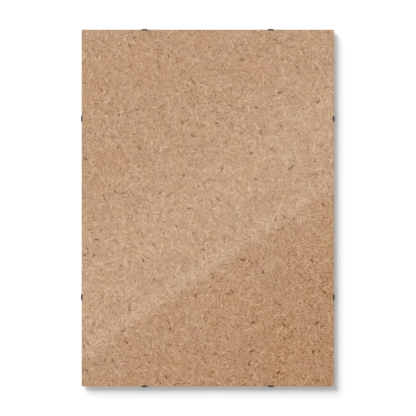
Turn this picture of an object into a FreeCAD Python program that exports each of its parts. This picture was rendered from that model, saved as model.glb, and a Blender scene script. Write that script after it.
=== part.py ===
import FreeCAD, Part
import math
import os

# A clip frame for one A3 sheet, upright as it hangs: +X to the right, +Z up, and +Y back to the wall.
# All sizes are millimetres.
# The origin is on the wall, at the notch of the upright hanger that the nail sits in.

# Driving sizes

# The two panels and the room for a sheet between them
sheet_width = 297.0
sheet_height = 420.0
glass_thickness = 2.0
glass_seam = 0.3
glass_corner_dub = 0.8
board_thickness = 3.0
board_edge_ease = 0.2
insert_room = 0.3

# The spring clips, two to a side
clip_place_share = 0.25
clip_steel = 0.5
clip_bend = 0.3
clip_wall_gap = 0.15
clip_lip_gap = 0.15
clip_lip_overlap = 1.2
clip_heel_gap = 0.3
clip_heel_run = 3.0
clip_heel_sweep = 6.0
clip_crown_rise = 1.9
clip_crown_sweep = 16.0
clip_shoulder_gap = 0.35
clip_neck_width = 6.5
clip_neck_sweep = 2.5
clip_leg_width = 18.0
clip_flare_run = 6.0
clip_flare_sweep = 3.0
clip_pull_hole = 3.5
clip_tooth_lean = 10.0

# The blind slots that the clips' teeth hook into
slot_inset = 20.0
slot_width = 3.5
slot_side_room = 2.0
slot_floor = 1.0
tooth_play = 0.3
tooth_tip_gap = 0.2

# The two toothed hangers
hanger_drop = 25.0
hanger_length = 46.0
hanger_height = 10.0
hanger_steel = 0.9
hanger_rise = 2.1
hanger_bend = 0.5
hanger_bridge = 27.0
hanger_ramp_run = 3.0
hanger_corner = 2.5
hanger_tooth_count = 5
hanger_tooth_pitch = 4.2
hanger_tooth_land = 0.5
hanger_tooth_depth = 1.8
prong_width = 4.0
prong_floor = 0.8
prong_gap = 0.1

# One margin for every cut that has to pass a face, and how nearly an edge lies in a face
overrun = 1.0
same_depth = 0.01

# Angles in degrees
quarter_turn = 90.0
half_turn = 180.0

# Depths along Y, from the wall towards the room
wall_y = 0.0
board_back_y = wall_y - hanger_steel - hanger_rise
board_front_y = board_back_y - board_thickness
glass_back_y = board_front_y - insert_room
glass_front_y = glass_back_y - glass_thickness

# Places on the upright panel
panel_right_x = sheet_width / 2
panel_top_z = hanger_drop
panel_middle_z = panel_top_z - sheet_height / 2
panel_bottom_z = panel_top_z - sheet_height

# A clip's middle line, drawn at a right-hand edge: u is how far it lies out from the edge
clip_half_steel = clip_steel / 2
clip_lip_u = -clip_lip_overlap + clip_half_steel
clip_lip_y = glass_front_y - clip_lip_gap - clip_half_steel
clip_wall_u = clip_wall_gap + clip_half_steel
clip_heel_u = -clip_heel_run
clip_heel_y = board_back_y + clip_heel_gap + clip_half_steel
clip_lean_slope = math.tan(math.radians(clip_tooth_lean))
clip_mouth_u = -slot_inset - tooth_play - clip_half_steel / math.cos(math.radians(clip_tooth_lean))
clip_shoulder_y = board_back_y + clip_shoulder_gap + clip_half_steel
clip_shoulder_u = clip_mouth_u + (clip_shoulder_y - board_back_y) * clip_lean_slope
clip_tip_y = board_front_y + slot_floor + tooth_tip_gap + clip_half_steel
clip_tip_u = clip_mouth_u - (board_back_y - clip_tip_y) * clip_lean_slope
clip_crown_u = (clip_heel_u + clip_shoulder_u) / 2
clip_crown_y = clip_heel_y + clip_crown_rise

origin = FreeCAD.Vector(0, 0, 0)
across = FreeCAD.Vector(1, 0, 0)
back = FreeCAD.Vector(0, 1, 0)
upward = FreeCAD.Vector(0, 0, 1)


def flat_point(station):
    """The drawing-plane point of a station, which is x, y and a corner radius."""
    return FreeCAD.Vector(station[0], station[1], 0)


def unit(vector):
    """A vector's direction, with a length of one."""
    return vector / vector.Length


def same_point(first, second):
    """Whether two points are too close for an edge to run between them."""
    return first.isEqual(second, Part.Precision.confusion())


def rounded_corner(before, point, after, radius):
    """Start, middle and end of the arc that rounds one corner."""
    inward = unit(before - point)
    onward = unit(after - point)
    half_angle = inward.getAngle(onward) / 2
    bisector = unit(inward + onward)
    run = radius / math.tan(half_angle)
    centre = point + bisector * (radius / math.sin(half_angle))
    return point + inward * run, centre - bisector * radius, point + onward * run


def line_and_arc(edges, last, start, middle, end):
    """Adds the straight run up to an arc and then the arc, each only if it has any length."""
    if not same_point(last, start):
        edges.append(Part.makeLine(last, start))
    if not same_point(start, end):
        edges.append(Part.Arc(start, middle, end).toShape())
    return end


def rounded_outline(stations):
    """Closed wire through the stations, each corner rounded by its own radius."""
    points = [flat_point(station) for station in stations]
    arcs = []
    for index, station in enumerate(stations):
        after = points[(index + 1) % len(points)]
        arcs.append(rounded_corner(points[index - 1], points[index], after, station[2]))
    edges = []
    last = arcs[-1][2]
    for start, middle, end in arcs:
        last = line_and_arc(edges, last, start, middle, end)
    return Part.Wire(edges)


def strip_side(stations, offset):
    """Edges of one side of a bent strip, to the left of its middle line by the offset."""
    points = [flat_point(station) for station in stations]
    edges = []
    last = points[0] + upward.cross(unit(points[1] - points[0])) * offset
    for index in range(1, len(points) - 1):
        before = points[index - 1]
        point = points[index]
        after = points[index + 1]
        start, middle, end = rounded_corner(before, point, after, stations[index][2])
        left_before = upward.cross(unit(point - before))
        left_after = upward.cross(unit(after - point))
        left_middle = unit(left_before + left_after)
        last = line_and_arc(
            edges,
            last,
            start + left_before * offset,
            middle + left_middle * offset,
            end + left_after * offset,
        )
    finish = points[-1] + upward.cross(unit(points[-1] - points[-2])) * offset
    edges.append(Part.makeLine(last, finish))
    return edges


def round_tip(stations, half_thickness):
    """The half-round arc that ends a strip at its last station."""
    tip = flat_point(stations[-1])
    onward = unit(tip - flat_point(stations[-2]))
    left = upward.cross(onward)
    return Part.Arc(
        tip + left * half_thickness,
        tip + onward * half_thickness,
        tip - left * half_thickness,
    ).toShape()


def bent_strip(stations, thickness, width):
    """Strip of even thickness along a bent middle line, centred on it across its width."""
    half = thickness / 2
    outline = strip_side(stations, half)
    outline.append(round_tip(stations, half))
    outline.extend(reversed(strip_side(stations, -half)))
    outline.append(round_tip(stations[::-1], half))
    solid = Part.Face(Part.Wire(outline)).extrude(upward * width)
    solid.translate(upward * (-width / 2))
    return solid


def upright_plate(stations, front_y, back_y):
    """Plate with a rounded outline drawn as seen from the front, between two depths."""
    solid = Part.Face(rounded_outline(stations)).extrude(upward * (front_y - back_y))
    solid.rotate(origin, across, quarter_turn)
    solid.translate(back * front_y)
    return solid


def panel_outline(corner):
    """Stations of the sheet's own outline, with its corners cut off by the given size."""
    right = panel_right_x
    return [
        (right - corner, panel_bottom_z, 0),
        (right, panel_bottom_z + corner, 0),
        (right, panel_top_z - corner, 0),
        (right - corner, panel_top_z, 0),
        (-right + corner, panel_top_z, 0),
        (-right, panel_top_z - corner, 0),
        (-right, panel_bottom_z + corner, 0),
        (-right + corner, panel_bottom_z, 0),
    ]


def rim_edges(solid, depths):
    """Edges of a panel that lie wholly in one of its two faces."""
    rims = []
    for edge in solid.Edges:
        box = edge.BoundBox
        for depth in depths:
            if abs(box.YMin - depth) < same_depth and abs(box.YMax - depth) < same_depth:
                rims.append(edge)
    return rims


def glass_pane():
    """Clear pane with its corners dubbed and its sharp edges seamed."""
    pane = upright_plate(panel_outline(glass_corner_dub), glass_front_y, glass_back_y)
    return pane.makeChamfer(glass_seam, rim_edges(pane, (glass_front_y, glass_back_y)))


def clip_slot():
    """Blind slot for one tooth, for a clip at a right-hand edge."""
    half_length = clip_leg_width / 2 + slot_side_room
    outer = -slot_inset
    inner = -slot_inset - slot_width
    corner = slot_width / 2
    stations = [
        (outer, -half_length, corner),
        (outer, half_length, corner),
        (inner, half_length, corner),
        (inner, -half_length, corner),
    ]
    return upright_plate(stations, board_front_y + slot_floor, board_back_y + overrun)


def clip_middle_line():
    """Stations of a clip's middle line, from the lip's tip round to the tooth's tip."""
    bend = clip_bend + clip_half_steel
    return [
        (clip_lip_u, clip_lip_y, 0),
        (clip_wall_u, clip_lip_y, bend),
        (clip_wall_u, clip_heel_y, bend),
        (clip_heel_u, clip_heel_y, clip_heel_sweep),
        (clip_crown_u, clip_crown_y, clip_crown_sweep),
        (clip_shoulder_u, clip_shoulder_y, bend),
        (clip_tip_u, clip_tip_y, 0),
    ]


def clip_plan():
    """Outline of a clip as seen from behind: a narrow neck that flares into a wide leg."""
    neck = clip_neck_width / 2
    leg = clip_leg_width / 2
    outer = clip_wall_gap + clip_steel + overrun
    flare_end = clip_heel_u - clip_flare_run
    inner = -slot_inset - slot_width - overrun
    return [
        (outer, -neck, 0),
        (outer, neck, 0),
        (clip_heel_u, neck, clip_neck_sweep),
        (flare_end, leg, clip_flare_sweep),
        (inner, leg, 0),
        (inner, -leg, 0),
        (flare_end, -leg, clip_flare_sweep),
        (clip_heel_u, -neck, clip_neck_sweep),
    ]


def spring_clip():
    """One clip at a right-hand edge, with its lip on the glass and its tooth in a slot."""
    front_y = clip_lip_y - clip_half_steel - overrun
    strip = bent_strip(clip_middle_line(), clip_steel, clip_leg_width + overrun)
    clip = strip.common(upright_plate(clip_plan(), front_y, wall_y + overrun))
    hole_start = FreeCAD.Vector(clip_crown_u, board_back_y, 0)
    hole = Part.makeCylinder(clip_pull_hole / 2, wall_y - board_back_y + overrun, hole_start, back)
    return clip.cut(hole)


def clip_places():
    """Point on the panel's edge and turn about the depth axis for each clip, by node name."""
    along_x = panel_right_x - sheet_width * clip_place_share
    upper_z = panel_top_z - sheet_height * clip_place_share
    lower_z = panel_bottom_z + sheet_height * clip_place_share
    return {
        "clip_top_left": (-along_x, panel_top_z, -quarter_turn),
        "clip_top_right": (along_x, panel_top_z, -quarter_turn),
        "clip_bottom_left": (-along_x, panel_bottom_z, quarter_turn),
        "clip_bottom_right": (along_x, panel_bottom_z, quarter_turn),
        "clip_left_upper": (-panel_right_x, upper_z, half_turn),
        "clip_left_lower": (-panel_right_x, lower_z, half_turn),
        "clip_right_upper": (panel_right_x, upper_z, 0),
        "clip_right_lower": (panel_right_x, lower_z, 0),
    }


def at_place(shape, place):
    """A copy of a shape, turned about the depth axis and moved to a point on the panel."""
    x, z, turn = place
    placed = shape.copy()
    placed.rotate(origin, back, turn)
    placed.translate(FreeCAD.Vector(x, 0, z))
    return placed


def hanger_middle_line():
    """Stations of a hanger's middle line, from prong tip to prong tip."""
    half = hanger_steel / 2
    bend = hanger_bend + half
    end = hanger_length / 2 - half
    foot_y = board_back_y + half
    bridge_end = hanger_bridge / 2
    tip_y = board_front_y + prong_floor + prong_gap + half
    right_half = [
        (bridge_end, wall_y - half, bend),
        (bridge_end + hanger_ramp_run, foot_y, bend),
        (end, foot_y, bend),
        (end, tip_y, 0),
    ]
    left_half = [(-x, y, radius) for x, y, radius in reversed(right_half)]
    return left_half + right_half


def hanger_plan():
    """Outline of a hanger: a bar whose ends narrow to the width of the prongs."""
    low = -hanger_tooth_depth
    high = low + hanger_height
    prong_low = (low + high - prong_width) / 2
    prong_high = prong_low + prong_width
    shoulder = hanger_length / 2 - hanger_steel - hanger_bend
    end = hanger_length / 2 + overrun
    return [
        (-shoulder, low, hanger_corner),
        (shoulder, low, hanger_corner),
        (shoulder, prong_low, 0),
        (end, prong_low, 0),
        (end, prong_high, 0),
        (shoulder, prong_high, 0),
        (shoulder, high, hanger_corner),
        (-shoulder, high, hanger_corner),
        (-shoulder, prong_high, 0),
        (-end, prong_high, 0),
        (-end, prong_low, 0),
        (-shoulder, prong_low, 0),
    ]


def nail_notch(x):
    """Three-sided cutter for one notch in a hanger's lower edge."""
    cutter_depth = hanger_tooth_depth + overrun
    half_mouth = (hanger_tooth_pitch - hanger_tooth_land) / 2
    spread = half_mouth * cutter_depth / hanger_tooth_depth
    stations = [
        (x, 0, 0),
        (x - spread, -cutter_depth, 0),
        (x + spread, -cutter_depth, 0),
    ]
    return upright_plate(stations, board_back_y - overrun, wall_y + overrun)


def toothed_hanger():
    """A hanger with its middle notch at the origin and its teeth pointing down."""
    strip = bent_strip(hanger_middle_line(), hanger_steel, hanger_height * 2 + overrun)
    hanger = strip.common(upright_plate(hanger_plan(), board_front_y, wall_y + overrun))
    for index in range(hanger_tooth_count):
        steps_from_middle = index - (hanger_tooth_count - 1) / 2
        hanger = hanger.cut(nail_notch(steps_from_middle * hanger_tooth_pitch))
    return hanger


def prong_pocket(side):
    """Pocket in the board for one prong of a hanger whose middle notch is at the origin."""
    middle_x = side * (hanger_length - hanger_steel) / 2
    middle_z = hanger_height / 2 - hanger_tooth_depth
    half_x = hanger_steel / 2 + prong_gap
    half_z = prong_width / 2 + prong_gap
    inner = middle_x - side * (half_x + hanger_bend)
    outer = middle_x + side * half_x
    stations = [
        (inner, middle_z - half_z, 0),
        (outer, middle_z - half_z, 0),
        (outer, middle_z + half_z, 0),
        (inner, middle_z + half_z, 0),
    ]
    return upright_plate(stations, board_front_y + prong_floor, board_back_y + overrun)


def hanger_places():
    """Place of the nail notch and turn about the depth axis for each hanger, by node name."""
    return {
        "hanger_portrait": (0, 0, 0),
        "hanger_landscape": (panel_right_x - hanger_drop, panel_middle_z, quarter_turn),
    }


def backing_board():
    """Fibre board with eased edges, a blind slot behind each clip and pockets for the prongs."""
    board = upright_plate(panel_outline(board_edge_ease), board_front_y, board_back_y)
    board = board.makeChamfer(board_edge_ease, rim_edges(board, (board_front_y, board_back_y)))
    slot = clip_slot()
    for place in clip_places().values():
        board = board.cut(at_place(slot, place))
    for place in hanger_places().values():
        for side in (-1, 1):
            board = board.cut(at_place(prong_pocket(side), place))
    return board


def all_nodes():
    """Every piece of the frame, by node name."""
    nodes = {"glass_pane": glass_pane(), "backing_board": backing_board()}
    clip = spring_clip()
    for name, place in clip_places().items():
        nodes[name] = at_place(clip, place)
    hanger = toothed_hanger()
    for name, place in hanger_places().items():
        nodes[name] = at_place(hanger, place)
    return nodes


os.makedirs("parts", exist_ok=True)
for node_name, shape in all_nodes().items():
    shape.exportStep("parts/" + node_name + ".step")
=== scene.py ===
import math
import bpy
import bmesh
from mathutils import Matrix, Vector

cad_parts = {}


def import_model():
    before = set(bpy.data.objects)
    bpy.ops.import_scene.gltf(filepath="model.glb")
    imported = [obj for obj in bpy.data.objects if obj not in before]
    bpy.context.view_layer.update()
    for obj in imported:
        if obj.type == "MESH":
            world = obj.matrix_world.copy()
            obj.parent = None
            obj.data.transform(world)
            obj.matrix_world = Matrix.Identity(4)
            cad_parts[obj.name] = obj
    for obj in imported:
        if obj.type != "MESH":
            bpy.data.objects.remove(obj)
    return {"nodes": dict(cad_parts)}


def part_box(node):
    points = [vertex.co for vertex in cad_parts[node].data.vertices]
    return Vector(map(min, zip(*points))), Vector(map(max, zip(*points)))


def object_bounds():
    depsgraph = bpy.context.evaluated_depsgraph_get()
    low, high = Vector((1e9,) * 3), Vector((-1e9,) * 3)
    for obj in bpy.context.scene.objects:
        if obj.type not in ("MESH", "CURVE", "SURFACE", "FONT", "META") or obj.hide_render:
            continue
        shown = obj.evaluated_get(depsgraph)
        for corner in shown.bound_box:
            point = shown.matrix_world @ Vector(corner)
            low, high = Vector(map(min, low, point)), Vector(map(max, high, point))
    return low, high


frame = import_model()
CAD_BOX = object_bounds()

# Units, and the places of the main faces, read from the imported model
MM = 0.001
GLASS_FRONT_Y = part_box("glass_pane")[0][1]
BOARD_LOW, BOARD_HIGH = (Vector(corner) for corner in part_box("backing_board"))
PANEL_MIDDLE = (BOARD_LOW + BOARD_HIGH) / 2
WALL_Y = CAD_BOX[1][1]


class Tree:
    """The node tree of a material or of the world, with short calls for the nodes that they share here."""

    def __init__(self, owner, output="ShaderNodeOutputMaterial"):
        self.owner = owner
        self.owner.use_nodes = True
        self.output = output
        self.tree = self.owner.node_tree
        self.tree.nodes.clear()

    def node(self, kind, settings=None, **inputs):
        """A new node with those settings. Each input is a value or another node's output."""
        made = self.tree.nodes.new(kind)
        for key, value in (settings or {}).items():
            setattr(made, key, value)
        for key, value in inputs.items():
            self.feed(made.inputs[key.replace("_", " ")], value)
        return made

    def feed(self, socket, value):
        if isinstance(value, bpy.types.NodeSocket):
            self.tree.links.new(value, socket)
        else:
            socket.default_value = value

    def math(self, operation, *values):
        made = self.node("ShaderNodeMath", {"operation": operation})
        for socket, value in zip(made.inputs, values):
            self.feed(socket, value)
        return made.outputs[0]

    def vector(self, operation, *values, scale=None):
        made = self.node("ShaderNodeVectorMath", {"operation": operation})
        for socket, value in zip(made.inputs, values):
            self.feed(socket, value)
        if scale is not None:
            self.feed(made.inputs["Scale"], scale)
        return made.outputs["Value" if operation in ("LENGTH", "DOT_PRODUCT") else "Vector"]

    def split(self, vector):
        return self.node("ShaderNodeSeparateXYZ", Vector=vector).outputs

    def join(self, x, y, z=0.0):
        return self.node("ShaderNodeCombineXYZ", X=x, Y=y, Z=z).outputs[0]

    def alike(self, value):
        return self.join(value, value, value)

    def ramp(self, value, low, high, to_low=0.0, to_high=1.0, kind="SMOOTHSTEP"):
        made = self.node("ShaderNodeMapRange", {"interpolation_type": kind})
        for key, number in zip(("Value", "From Min", "From Max", "To Min", "To Max"),
                               (value, low, high, to_low, to_high)):
            self.feed(made.inputs[key], number)
        return made.outputs["Result"]

    def peak(self, value, middle, reach, height):
        """That height where the value is at its middle, and 0 once it is its reach away."""
        away = self.math("ABSOLUTE", self.math("SUBTRACT", value, middle))
        return self.ramp(away, reach, 0.0, 0.0, height)

    def mix(self, share, a, b):
        made = self.node("ShaderNodeMix", {"data_type": "RGBA"})
        self.feed(made.inputs["Factor"], share)
        self.feed(made.inputs[6], a)
        self.feed(made.inputs[7], b)
        return made.outputs[2]

    def noise(self, place, size=1.0, detail=2.0, roughness=0.5):
        made = self.node("ShaderNodeTexNoise", Vector=place, Scale=1.0 / size, Detail=detail,
                         Roughness=roughness)
        return made.outputs["Fac"]

    def flat_noise(self, place, size=1.0, detail=1.0, output="Fac"):
        made = self.node("ShaderNodeTexNoise", {"noise_dimensions": "2D"}, Vector=place, Scale=1.0 / size,
                         Detail=detail)
        return made.outputs[output]

    def swing(self, place, size=1.0, detail=1.0):
        """Flat noise that swings about 0."""
        return self.math("SUBTRACT", self.flat_noise(place, size, detail), 0.5)

    def wander(self, place, size, reach):
        """The place, moved by up to half that reach to each side."""
        drift = self.vector("SUBTRACT", self.flat_noise(place, size, output="Color"), (0.5, 0.5, 0.5))
        return self.vector("ADD", place, self.vector("SCALE", drift, scale=reach))

    def millimetres(self):
        place = self.node("ShaderNodeTexCoord").outputs["Object"]
        return self.vector("SCALE", place, scale=1.0 / MM)

    def turned_to_wall(self):
        """1 on a face that looks at the wall, 0 on an edge and -1 on a face that looks at the room."""
        return self.split(self.node("ShaderNodeTexCoord").outputs["Normal"])[1]

    def bump(self, height, depth, under=None):
        made = self.node("ShaderNodeBump", Height=height, Distance=depth)
        if under is not None:
            self.feed(made.inputs["Normal"], under)
        return made.outputs[0]

    def principled(self, **inputs):
        return self.node("ShaderNodeBsdfPrincipled", **inputs).outputs[0]

    def blend(self, share, a, b):
        """Shader a, and that share of shader b."""
        made = self.node("ShaderNodeMixShader", Fac=share)
        self.feed(made.inputs[1], a)
        self.feed(made.inputs[2], b)
        return made.outputs[0]

    def finish(self, surface):
        self.feed(self.node(self.output).inputs["Surface"], surface)
        return self.owner


# Random cells: how far each seed shifts them, so that no two patterns are alike
SEED_SHIFT = (61.3, 37.9)


def cell_frame(t, place, cell, seed):
    """The way from the middle of each random cell, turned at random, and three random numbers for it."""
    shifted = t.vector("ADD", place, (seed * SEED_SHIFT[0], seed * SEED_SHIFT[1], 0.0))
    cells = t.node("ShaderNodeTexVoronoi", {"voronoi_dimensions": "2D", "feature": "F1"},
                   Vector=shifted, Scale=1.0 / cell, Randomness=1.0)
    away = t.vector("SUBTRACT", shifted, cells.outputs["Position"])
    chance = t.node("ShaderNodeSeparateColor", Color=cells.outputs["Color"]).outputs
    angle = t.math("MULTIPLY", chance[0], math.tau)
    turned = t.node("ShaderNodeVectorRotate", {"rotation_type": "Z_AXIS"}, Vector=away, Angle=angle)
    return turned.outputs[0], chance


# Strands: their greatest bow as a share of their length, where their soft ends start, and the least force
STRAND_BOW = 0.06
STRAND_SOFTENS = 0.40
LEAST_FORCE = 0.3


def strands(t, place, cell, length, width, seed, share):
    """Short bent streaks with soft ends, one in some of the cells and not all as strong."""
    turned, chance = cell_frame(t, place, cell, seed)
    along, across, _ = t.split(turned)
    along = t.math("DIVIDE", along, length / 2)
    most_lean = STRAND_BOW * length / width
    lean = t.math("MULTIPLY_ADD", chance[1], 2 * most_lean, -most_lean)
    bent = t.math("MULTIPLY", t.math("POWER", along, 2.0), lean)
    across = t.math("ADD", t.math("DIVIDE", across, width / 2), bent)
    reach = t.math("ADD", t.math("POWER", along, 2.0), t.math("POWER", across, 2.0))
    streak = t.ramp(reach, 1.0, STRAND_SOFTENS)
    force = t.ramp(chance[2], share, 0.0, LEAST_FORCE, 1.0, "LINEAR")
    return t.math("MULTIPLY", streak, t.math("MULTIPLY", force, t.math("LESS_THAN", chance[2], share)))


# A bundle fades out between these shares of its cell, and each shows its own stretch of the grain
BUNDLE_ENDS = 0.75
BUNDLE_SOFTENS = 0.1
GRAIN_STRETCH = (91.0, 53.0)


def bundles(t, place, cell, fibre_length, fibre_width, seed):
    """Patches of fibres that lie alongside each other, each patch turned its own way. It swings about 0."""
    turned, chance = cell_frame(t, place, cell, seed)
    reach = t.vector("LENGTH", turned)
    window = t.ramp(reach, BUNDLE_ENDS * cell, BUNDLE_SOFTENS * cell)
    along, across, _ = t.split(turned)
    along = t.math("MULTIPLY_ADD", chance[1], GRAIN_STRETCH[0], t.math("DIVIDE", along, fibre_length))
    across = t.math("MULTIPLY_ADD", chance[2], GRAIN_STRETCH[1], t.math("DIVIDE", across, fibre_width))
    return t.math("MULTIPLY", t.swing(t.join(along, across)), window)


# The fibres' curl: how large its waves are and how far they reach, in mm
CURL_SIZE = 14.0
CURL_REACH = 3.5

# Bundles: cell, fibre length and fibre width in mm, and force
BUNDLES = (
    (3.0, 4.0, 0.56, 0.68),
    (4.2, 6.0, 0.60, 0.66),
    (6.5, 10.0, 0.64, 0.48),
    (11.0, 18.0, 0.70, 0.30),
    (1.9, 2.6, 0.26, 0.60),
)

# Light strands, dark strands and dark chips: cell, length and width in mm, seed, share of cells, and force
STRANDS = (
    (9.0, 10.0, 0.80, 11, 0.60, 0.21),
    (12.0, 15.0, 0.80, 12, 0.60, 0.21),
    (17.0, 21.0, 0.80, 13, 0.60, 0.21),
    (6.5, 6.0, 0.80, 21, 0.45, -0.16),
    (15.0, 15.0, 0.80, 22, 0.50, -0.20),
    (18.0, 13.0, 1.00, 32, 0.60, -0.24),
    (13.0, 3.8, 1.60, 33, 0.45, -0.38),
    (10.0, 2.0, 1.70, 34, 0.45, -0.36),
    (31.0, 6.5, 2.50, 35, 0.60, -0.55),
)

# Speckle and soft clouds, without a direction: size in mm, detail, and force
CLOUDS = (
    (0.9, 0.0, 0.20),
    (16.0, 2.0, 0.055),
)


def board_fibres(t, place):
    """How light or dark the pressed wood fibres make the board, in display levels of 0 to 1 about 0."""
    place = t.wander(place, CURL_SIZE, CURL_REACH)
    parts = []
    for seed, (*shape, force) in enumerate(BUNDLES, start=1):
        parts.append((bundles(t, place, *shape, seed), force))
    for *shape, force in STRANDS:
        parts.append((strands(t, place, *shape), force))
    for *shape, force in CLOUDS:
        parts.append((t.swing(place, *shape), force))
    whole = 0.0
    for output, force in parts:
        whole = t.math("MULTIPLY_ADD", output, force, whole)
    return whole


# Hardboard's plain brown, in display colours, and how it drifts: size in mm and detail, then the range
HARDBOARD_BROWN = (0.690, 0.526, 0.380, 1.0)
HARDBOARD_PINKER = (0.696, 0.521, 0.395, 1.0)
REAR_BROWN = (0.648, 0.522, 0.408, 1.0)
PINK_PATCHES = (13.0, 1.0)
PINK_RANGE = (0.35, 0.65)
WARM_PATCHES = (55.0, 2.0)
WARM_RANGE = (0.30, 0.70, -0.5, 0.5)
WARM_DRIFT = (0.006, -0.003, -0.016)


def board_brown(t, place, rear):
    patch = t.ramp(t.flat_noise(place, *PINK_PATCHES), *PINK_RANGE)
    brown = t.mix(patch, HARDBOARD_BROWN, HARDBOARD_PINKER)
    brown = t.mix(rear, brown, REAR_BROWN)
    warmth = t.ramp(t.flat_noise(place, *WARM_PATCHES), *WARM_RANGE)
    return t.vector("MULTIPLY_ADD", t.alike(warmth), WARM_DRIFT, brown)


# Marks on the brown: beyond their start, a dark one and a light one drift from it by their own tints
SHADE_TINT = (0.94, 1.02, 1.15)
DARK_MARK_TINT = (-0.14, -0.06, 0.36)
LIGHT_MARK_TINT = (-0.55, -0.40, -0.50)
MARK_START = 0.08
DEEPEST_SHADE = -0.29
HIGHEST_SHADE = 0.30
BLACKEST = (0.05, 0.03, 0.012)
DISPLAY_GAMMA = 2.2


def marked_brown(t, brown, shade):
    """That brown, in display colours, made lighter and darker by that shade, and turned into light."""
    shade = t.math("MINIMUM", t.math("MAXIMUM", shade, DEEPEST_SHADE), HIGHEST_SHADE)
    shaded = t.vector("MULTIPLY_ADD", t.alike(shade), SHADE_TINT, brown)
    dark = t.math("MINIMUM", t.math("ADD", shade, MARK_START), 0.0)
    shaded = t.vector("MULTIPLY_ADD", t.alike(dark), DARK_MARK_TINT, shaded)
    light = t.math("MAXIMUM", t.math("SUBTRACT", shade, MARK_START), 0.0)
    shaded = t.vector("MULTIPLY_ADD", t.alike(light), LIGHT_MARK_TINT, shaded)
    shaded = t.vector("MAXIMUM", shaded, BLACKEST)
    return t.node("ShaderNodeGamma", Color=shaded, Gamma=DISPLAY_GAMMA).outputs[0]


# The rough side keeps the print of the wire screen that the board was pressed on. Its sizes are in mm
SCREEN_PITCH = 2.5
SCREEN_WANDER_SIZE = 9.0
SCREEN_WANDER_REACH = 1.0
PAD_TOP = 0.7


def screen_print(t, place):
    """Small pads in rows, 0 in the furrows that the wires left and 1 on the pads."""
    place = t.wander(place, SCREEN_WANDER_SIZE, SCREEN_WANDER_REACH)
    turns = t.vector("SCALE", place, scale=math.pi / SCREEN_PITCH)
    x, y, _ = t.split(t.vector("ABSOLUTE", t.vector("SINE", turns)))
    return t.ramp(t.math("MULTIPLY", x, y), 0.0, PAD_TOP)


# The sawn edges and the milled slots: how often the layers repeat per mm, and the size of the tufts in mm
CUT_LAYERS = (0.35, 2.6, 0.35)
LAYER_DETAIL = 3.0
LAYER_ROUGHNESS = 0.6
LAYER_SHARE = 0.6
TUFT_SIZE = 0.8


def cut_fuzz(t, mm):
    """Torn fibres that lie in the board's layers, along the edge and a little across it."""
    layers = t.noise(t.vector("MULTIPLY", mm, CUT_LAYERS), detail=LAYER_DETAIL, roughness=LAYER_ROUGHNESS)
    tufts = t.noise(mm, TUFT_SIZE)
    return t.math("ADD", t.math("MULTIPLY", layers, LAYER_SHARE), t.math("MULTIPLY", tufts, 1 - LAYER_SHARE))


# The board's surfaces. How far a face turns to the wall says whether it is the rear or an edge, and a rear
# face that lies this many mm deep is a slot's floor
REAR_START = 0.5
SLOT_START = 0.5
# The pads are lifted above the furrows in colour, so the furrows carry a painted shade
PAD_SHADE = 0.05
BACK_SHADE = -0.06
BLOTCHES = (45.0, 3.0)
BLOTCH_SHADE = 0.12
CUT_BROWN = (0.585, 0.435, 0.305)
CUT_SHADE = 0.55
SCREEN_DEPTH = 0.16 * MM
FUZZ_DEPTH = 0.25 * MM
SMOOTH_ROUGHNESS = 0.62
ROUGH_ROUGHNESS = 0.85
BOARD_SPECULAR = 0.4


def hardboard():
    """Smooth brown hardboard with fibres and chips, a screen print on its rear and torn cut edges."""
    t = Tree(bpy.data.materials.new("hardboard_fibre"))
    mm = t.millimetres()
    x, y, z = t.split(mm)
    place = t.join(x, z)
    to_wall = t.turned_to_wall()
    rear = t.math("GREATER_THAN", to_wall, REAR_START)
    edge = t.math("LESS_THAN", t.math("ABSOLUTE", to_wall), REAR_START)
    milled = t.math("LESS_THAN", y, BOARD_HIGH.y / MM - SLOT_START)
    cut = t.math("MAXIMUM", edge, t.math("MULTIPLY", rear, milled))

    pads = screen_print(t, place)
    # The furrows of the screen print are painted darker than the pads: a painted shade in the recesses, on
    # top of the real bump
    rear_shade = t.math("MULTIPLY_ADD", pads, PAD_SHADE, BACK_SHADE)
    rear_shade = t.math("MULTIPLY_ADD", t.swing(place, *BLOTCHES), BLOTCH_SHADE, rear_shade)
    shade = t.math("MULTIPLY_ADD", rear, rear_shade, board_fibres(t, place))
    face = marked_brown(t, board_brown(t, place, rear), shade)

    fuzz = cut_fuzz(t, mm)
    torn = marked_brown(t, CUT_BROWN, t.math("MULTIPLY_ADD", fuzz, CUT_SHADE, -CUT_SHADE / 2))
    colour = t.mix(cut, face, torn)

    normal = t.bump(t.math("MULTIPLY", rear, pads), SCREEN_DEPTH)
    normal = t.bump(t.math("MULTIPLY", cut, fuzz), FUZZ_DEPTH, under=normal)
    roughness = t.ramp(t.math("MAXIMUM", cut, rear), 0.0, 1.0, SMOOTH_ROUGHNESS, ROUGH_ROUGHNESS)
    return t.finish(t.principled(Base_Color=colour, Roughness=roughness, Specular_IOR_Level=BOARD_SPECULAR,
                                 Normal=normal))


# Clear glass, its ground green edges, and how far a face turns from the wall before it counts as an edge
CLEAR = (1.0, 1.0, 1.0, 1.0)
GLASS_IOR = 1.5
PANE_TINT = (0.955, 0.965, 0.96, 1.0)
RIM_GREEN = (0.17, 0.29, 0.24, 1.0)
RIM_PALER = (0.33, 0.46, 0.40, 1.0)
RIM_START = 0.9
RIM_SEE_THROUGH = 0.15
GRIT_SIZE = 0.35
GRIT_TO_ROUGHNESS = (0.3, 0.7, 0.35, 0.5)


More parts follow.
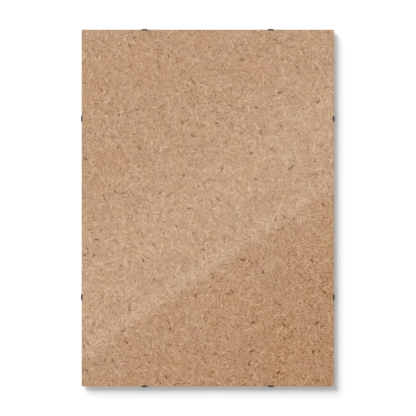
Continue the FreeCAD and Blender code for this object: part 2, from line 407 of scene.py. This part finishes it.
def clear_glass():
    """Clear float glass with cut edges that are ground, so frosted and green. Lamps shine through it."""
    t = Tree(bpy.data.materials.new("clear_glass"))
    glass = t.principled(Base_Color=CLEAR, Roughness=0.0, IOR=GLASS_IOR, Transmission_Weight=1.0)
    grit = t.noise(t.millimetres(), GRIT_SIZE)
    green = t.mix(grit, RIM_GREEN, RIM_PALER)
    ground = t.principled(Base_Color=green, Roughness=t.ramp(grit, *GRIT_TO_ROUGHNESS), IOR=GLASS_IOR,
                          Transmission_Weight=RIM_SEE_THROUGH)
    rim = t.math("LESS_THAN", t.math("ABSOLUTE", t.turned_to_wall()), RIM_START)
    lamps_pass = t.node("ShaderNodeBsdfTransparent", Color=PANE_TINT).outputs[0]
    path = t.node("ShaderNodeLightPath").outputs
    lamp_or_soft_ray = t.math("MAXIMUM", path["Is Shadow Ray"], path["Is Diffuse Ray"])
    return t.finish(t.blend(lamp_or_soft_ray, t.blend(rim, glass, ground), lamps_pass))


# Blued steel, its lines from rolling, which run along Z, and its rubbed spots: size, detail and roughness
STEEL_BLUE = (0.018, 0.027, 0.034, 1.0)
STEEL_GREY = (0.040, 0.047, 0.053, 1.0)
STEEL_RUBBED = (0.12, 0.125, 0.13, 1.0)
STEEL_METALLIC = 0.9
STEEL_BLOOM = (6.0, 3.0)
STEEL_LINES = (4.0, 4.0, 0.12)
LINES_TO_ROUGHNESS = (0.3, 0.7, 0.24, 0.36)
RUBBED_SPOTS = (1.6, 4.0, 0.65)
RUBBED_RANGE = (0.56, 0.72, 0.0, 0.5)
RUBBED_ROUGHER = 0.12
LINE_DEPTH = 0.01 * MM


def blued_steel():
    """Spring steel, heat-blued: dark and slightly blue, with rolling lines and paler rubbed spots."""
    t = Tree(bpy.data.materials.new("blued_spring_steel"))
    mm = t.millimetres()
    bloom = t.noise(mm, *STEEL_BLOOM)
    rolled = t.noise(t.vector("MULTIPLY", mm, STEEL_LINES))
    rubbed = t.ramp(t.noise(mm, *RUBBED_SPOTS), *RUBBED_RANGE)
    colour = t.mix(rubbed, t.mix(bloom, STEEL_BLUE, STEEL_GREY), STEEL_RUBBED)
    roughness = t.math("MULTIPLY_ADD", rubbed, RUBBED_ROUGHER, t.ramp(rolled, *LINES_TO_ROUGHNESS))
    return t.finish(t.principled(Base_Color=colour, Metallic=STEEL_METALLIC, Roughness=roughness,
                                 Normal=t.bump(rolled, LINE_DEPTH)))


# Zinc plate, its clouds, with size, detail and roughness, and its lines from rolling
ZINC_DULL = (0.34, 0.35, 0.35, 1.0)
ZINC_BRIGHT = (0.66, 0.67, 0.66, 1.0)
ZINC_CLOUDS = (3.0, 4.0, 0.6)
ZINC_CLOUD_RANGE = (0.32, 0.68)
ZINC_CLOUD_SHARE = 0.7
ZINC_LINES = (5.0, 5.0, 0.15)
ZINC_LINE_RANGE = (0.3, 0.7)
ZINC_ROUGHNESS = (0.28, 0.46)


def zinc_plate():
    """Bright zinc on pressed steel: pale grey, faintly clouded, with fine rolling lines."""
    t = Tree(bpy.data.materials.new("zinc_plated_steel"))
    mm = t.millimetres()
    cloud = t.ramp(t.noise(mm, *ZINC_CLOUDS), *ZINC_CLOUD_RANGE)
    rolled = t.ramp(t.noise(t.vector("MULTIPLY", mm, ZINC_LINES)), *ZINC_LINE_RANGE)
    clouded = t.math("MULTIPLY", cloud, ZINC_CLOUD_SHARE)
    colour = t.mix(t.math("MULTIPLY_ADD", rolled, 1 - ZINC_CLOUD_SHARE, clouded), ZINC_DULL, ZINC_BRIGHT)
    roughness = t.ramp(t.math("ADD", cloud, rolled), 0.0, 2.0, *ZINC_ROUGHNESS)
    return t.finish(t.principled(Base_Color=colour, Metallic=1.0, Roughness=roughness,
                                 Normal=t.bump(rolled, LINE_DEPTH)))


def dress(node, material):
    for slot in bpy.data.objects[node].material_slots:
        slot.material = material


def dress_pieces():
    steel = blued_steel()
    zinc = zinc_plate()
    dress("backing_board", hardboard())
    dress("glass_pane", clear_glass())
    for node in frame["nodes"]:
        if node.startswith("clip_"):
            dress(node, steel)
        if node.startswith("hanger_"):
            dress(node, zinc)


# The wall and the floor
WALL_GAP = 0.4 * MM
WALL_SIZE = 12000 * MM
FLOOR_DROP = 350 * MM
WALL_PAINT = (0.893, 0.90, 0.908, 1.0)


def painted_wall():
    """Pale paint that is only there from its front."""
    t = Tree(bpy.data.materials.new("studio_wall"))
    paint = t.node("ShaderNodeBsdfDiffuse", Color=WALL_PAINT).outputs[0]
    clear = t.node("ShaderNodeBsdfTransparent").outputs[0]
    behind = t.node("ShaderNodeNewGeometry").outputs["Backfacing"]
    return t.finish(t.blend(behind, paint, clear))


def stage_square(name, side, middle, facing, material):
    """A flat square of the studio, which throws no shadow."""
    mesh = bpy.data.meshes.new(name)
    bm = bmesh.new()
    bmesh.ops.create_grid(bm, x_segments=1, y_segments=1, size=side / 2)
    bm.to_mesh(mesh)
    bm.free()
    square = bpy.data.objects.new(name, mesh)
    square.location = middle
    square.rotation_euler = Vector(facing).to_track_quat("Z", "Y").to_euler()
    square.data.materials.append(material)
    square.visible_shadow = False
    bpy.context.collection.objects.link(square)
    return square


def wall_and_floor():
    paint = painted_wall()
    wall_middle = (0.0, WALL_Y + WALL_GAP, PANEL_MIDDLE.z)
    wall = stage_square("studio_wall", WALL_SIZE, wall_middle, (0.0, -1.0, 0.0), paint)
    floor_middle = (0.0, 0.0, BOARD_LOW.z - FLOOR_DROP)
    floor = stage_square("studio_floor", WALL_SIZE, floor_middle, (0.0, 0.0, 1.0), paint)
    wall.visible_glossy = False
    floor.visible_glossy = False
    floor.visible_diffuse = False


# The camera: the photograph looks square on at the glass through a long lens
FRAME_WIDTH = 489.47 * MM
CAMERA_REACH = 3000 * MM
CAMERA_NUDGE = 0.30 * MM
SENSOR_WIDTH = 36.0
FARTHEST_SEEN = 100000 * MM


def camera():
    lens = bpy.data.cameras.new("camera")
    lens.sensor_width = SENSOR_WIDTH
    lens.lens = SENSOR_WIDTH * CAMERA_REACH / FRAME_WIDTH
    lens.clip_end = FARTHEST_SEEN
    eye = bpy.data.objects.new("camera", lens)
    eye.location = (PANEL_MIDDLE.x + CAMERA_NUDGE, GLASS_FRONT_Y - CAMERA_REACH, PANEL_MIDDLE.z)
    eye.rotation_euler = (math.pi / 2, 0.0, 0.0)
    bpy.context.collection.objects.link(eye)
    bpy.context.scene.camera = eye


# The softbox behind the camera that shows in the glass. Its lower edge, as seen there, rises to the right
GLOW_BACK = 3300 * MM
GLOW_CARD_SIZE = 1500 * MM
SOFTBOX_COLOUR = (1.02, 1.08, 1.00, 1.0)
GLOW_EDGE_START = (-132.6 * MM, -162.0 * MM)
GLOW_EDGE_END = (144.3 * MM, 26.5 * MM)

# Its light by the way up from that edge, as a share of the edge's length: from, to, first and last light
GLOW_SPILL = (-0.46, -0.06, 0.05, 0.60)
GLOW_BOX = (-0.05, 0.015, 0.0, 0.41)
GLOW_FADE = (0.22, 0.62, 0.0, -0.24)

# Two brighter streaks alongside the edge: place, reach to each side, and light
GLOW_RIM = (0.012, 0.045, 0.42)
GLOW_HEART = (0.19, 0.20, 0.24)


def softbox_glow(edge_middle, edge_turn, edge_length):
    """Light that is brightest just above a slanting edge, fades slowly above it and falls off below it."""
    t = Tree(bpy.data.materials.new("softbox_glow"))
    place = t.node("ShaderNodeTexCoord").outputs["Object"]
    place = t.vector("MULTIPLY", place, (-1.0, 1.0, 1.0))
    away = t.vector("SUBTRACT", place, (edge_middle.x, edge_middle.y, 0.0))
    turned = t.node("ShaderNodeVectorRotate", {"rotation_type": "Z_AXIS"}, Vector=away, Angle=-edge_turn)
    above = t.math("DIVIDE", t.split(turned.outputs[0])[1], edge_length)
    strength = t.ramp(above, *GLOW_SPILL, "LINEAR")
    for part in (t.ramp(above, *GLOW_BOX), t.peak(above, *GLOW_RIM), t.peak(above, *GLOW_HEART),
                 t.ramp(above, *GLOW_FADE)):
        strength = t.math("ADD", strength, part)
    return t.finish(t.node("ShaderNodeEmission", Color=SOFTBOX_COLOUR, Strength=strength).outputs[0])


def glow_card():
    """The softbox stands behind the camera, and everything on it is as much larger as it is further off."""
    larger = 1 + GLOW_BACK / CAMERA_REACH
    start, end = (Vector(point) * larger for point in (GLOW_EDGE_START, GLOW_EDGE_END))
    turn = math.atan2(end.y - start.y, end.x - start.x)
    material = softbox_glow((start + end) / 2, turn, (end - start).length)
    middle = (PANEL_MIDDLE.x, GLASS_FRONT_Y - GLOW_BACK, PANEL_MIDDLE.z)
    card = stage_square("glow_card", GLOW_CARD_SIZE, middle, (0.0, 1.0, 0.0), material)
    card.visible_camera = False
    card.visible_diffuse = False


# The lamps: one pair for the front and one for the views from behind
KEY_DIRECTION = (1.2, 1.0, -1.42)
KEY_STRENGTH = 4.65
KEY_SOFTNESS = math.radians(42)
FILL_DIRECTION = (0.0, 1.0, 0.0)
FILL_STRENGTH = 0.97
FILL_SOFTNESS = math.radians(20)
BACK_KEY_DIRECTION = (-1.2, -1.0, -1.42)
BACK_KEY_STRENGTH = 3.6
BACK_FILL_DIRECTION = (0.0, -1.0, 0.0)
BACK_FILL_STRENGTH = 0.45
PANEL_PIECES = ("glass_pane", "backing_board", "hanger_portrait", "hanger_landscape")


def sun(name, direction, strength, softness):
    """A soft lamp whose own disc shows neither in the steel nor in the glass."""
    lamp = bpy.data.lights.new(name, "SUN")
    lamp.energy = strength
    lamp.angle = softness
    holder = bpy.data.objects.new(name, lamp)
    holder.rotation_euler = Vector(direction).to_track_quat("-Z", "Y").to_euler()
    holder.visible_glossy = False
    holder.visible_transmission = False
    bpy.context.collection.objects.link(holder)
    return holder


def shadows_of_panel_only(lamp):
    """The panel's pieces throw a shadow from this lamp, and the clips throw none, as in the photograph."""
    blockers = bpy.data.collections.new("panel_shadow")
    for name in PANEL_PIECES:
        blockers.objects.link(bpy.data.objects[name])
    lamp.light_linking.blocker_collection = blockers


def lamps():
    shadows_of_panel_only(sun("key_light", KEY_DIRECTION, KEY_STRENGTH, KEY_SOFTNESS))
    sun("fill_light", FILL_DIRECTION, FILL_STRENGTH, FILL_SOFTNESS)
    sun("back_key_light", BACK_KEY_DIRECTION, BACK_KEY_STRENGTH, KEY_SOFTNESS)
    sun("back_fill_light", BACK_FILL_DIRECTION, BACK_FILL_STRENGTH, FILL_SOFTNESS)


# The air: how bright it looks, and the light it gives
BACKDROP = 1.25
AMBIENT = 0.20
AIR_COLOUR = (0.775, 0.80, 0.835, 1.0)

# What steel and glass mirror: a sheen from the rear, soft patches where the lamps are, and slanting bands
SHEEN_RANGE = (-0.1, 0.6)
SHEEN_LIGHT = 0.75
PATCH_RANGE = (0.80, 0.97)
PATCH_LIGHT = 2.2
BAND_TURNS = (42.0, 0.0, 26.0)
BAND_EDGE = (-0.15, 0.2)
BANDS_BESIDE = (0.10, 0.30)
BANDS_BEFORE = (0.0, -0.3)
BAND_LIGHT = 1.2


def mirrored_room(t, way):
    """The light that comes from each direction where steel and glass mirror the room."""
    x, y, _ = t.split(way)
    light = t.ramp(y, *SHEEN_RANGE, AMBIENT, SHEEN_LIGHT)
    for lamp in (KEY_DIRECTION, BACK_KEY_DIRECTION):
        towards = t.vector("DOT_PRODUCT", way, -Vector(lamp).normalized())
        light = t.math("ADD", light, t.ramp(towards, *PATCH_RANGE, 0.0, PATCH_LIGHT))
    slant = t.vector("DOT_PRODUCT", way, BAND_TURNS)
    band = t.ramp(t.math("SINE", slant), *BAND_EDGE)
    beside = t.ramp(t.math("ABSOLUTE", x), *BANDS_BESIDE)
    before = t.ramp(y, *BANDS_BEFORE, 0.0, BAND_LIGHT)
    return t.math("MULTIPLY_ADD", t.math("MULTIPLY", band, beside), before, light)


def world():
    """Pale where the camera sees it, also through the glass, and dim as a lamp."""
    t = Tree(bpy.data.worlds.new("studio_air"), "ShaderNodeOutputWorld")
    way = t.node("ShaderNodeTexCoord").outputs["Generated"]
    seen = t.node("ShaderNodeBackground", Strength=BACKDROP).outputs[0]
    lamp = t.node("ShaderNodeBackground", Color=AIR_COLOUR, Strength=AMBIENT).outputs[0]
    room = t.node("ShaderNodeBackground", Strength=mirrored_room(t, way)).outputs[0]
    path = t.node("ShaderNodeLightPath").outputs
    rearward = t.math("GREATER_THAN", t.split(way)[1], 0.0)
    through_pane = t.math("MULTIPLY", path["Is Transmission Ray"], rearward)
    mirrored = t.math("MAXIMUM", path["Is Glossy Ray"], path["Is Transmission Ray"])
    looked_at = t.math("MAXIMUM", path["Is Camera Ray"], through_pane)
    bpy.context.scene.world = t.finish(t.blend(looked_at, t.blend(mirrored, lamp, room), seen))


def studio():
    wall_and_floor()
    glow_card()
    lamps()
    world()
    bpy.context.scene.view_settings.view_transform = "Standard"


dress_pieces()
studio()
camera()
